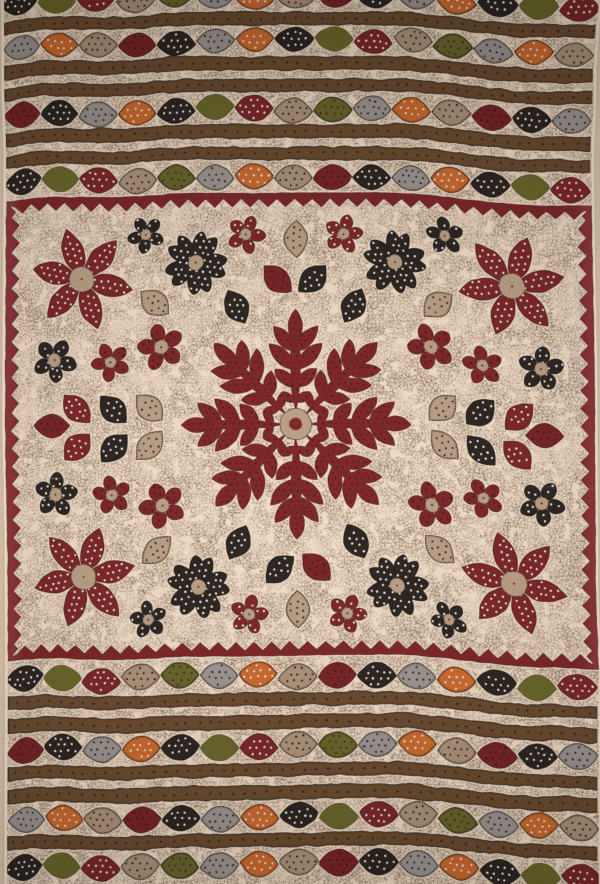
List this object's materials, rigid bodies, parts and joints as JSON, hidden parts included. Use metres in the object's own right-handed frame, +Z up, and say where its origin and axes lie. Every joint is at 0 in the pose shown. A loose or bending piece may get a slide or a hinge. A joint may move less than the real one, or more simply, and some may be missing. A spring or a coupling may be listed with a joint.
{
  "type": "printed bedsheet",
  "caption": "Flat single-bed cotton sheet, printed with leaf rows, stripes and a bordered field, lying face up with soft creases and turned hems.",
  "frame": {"origin": "middle of the sheet's bounding box, on the surface that it lies on", "axes": "+X across the width, +Y along the length towards the top end of the print, +Z up out of the printed face"},
  "size_m": [1.535, 2.36, 0.0064],
  "materials": {
    "printed_cotton": "printed plain-weave cotton, matt"
  },
  "bodies": {
    "root": {"bedsheet": "printed_cotton"}
  },
  "joints": []
}
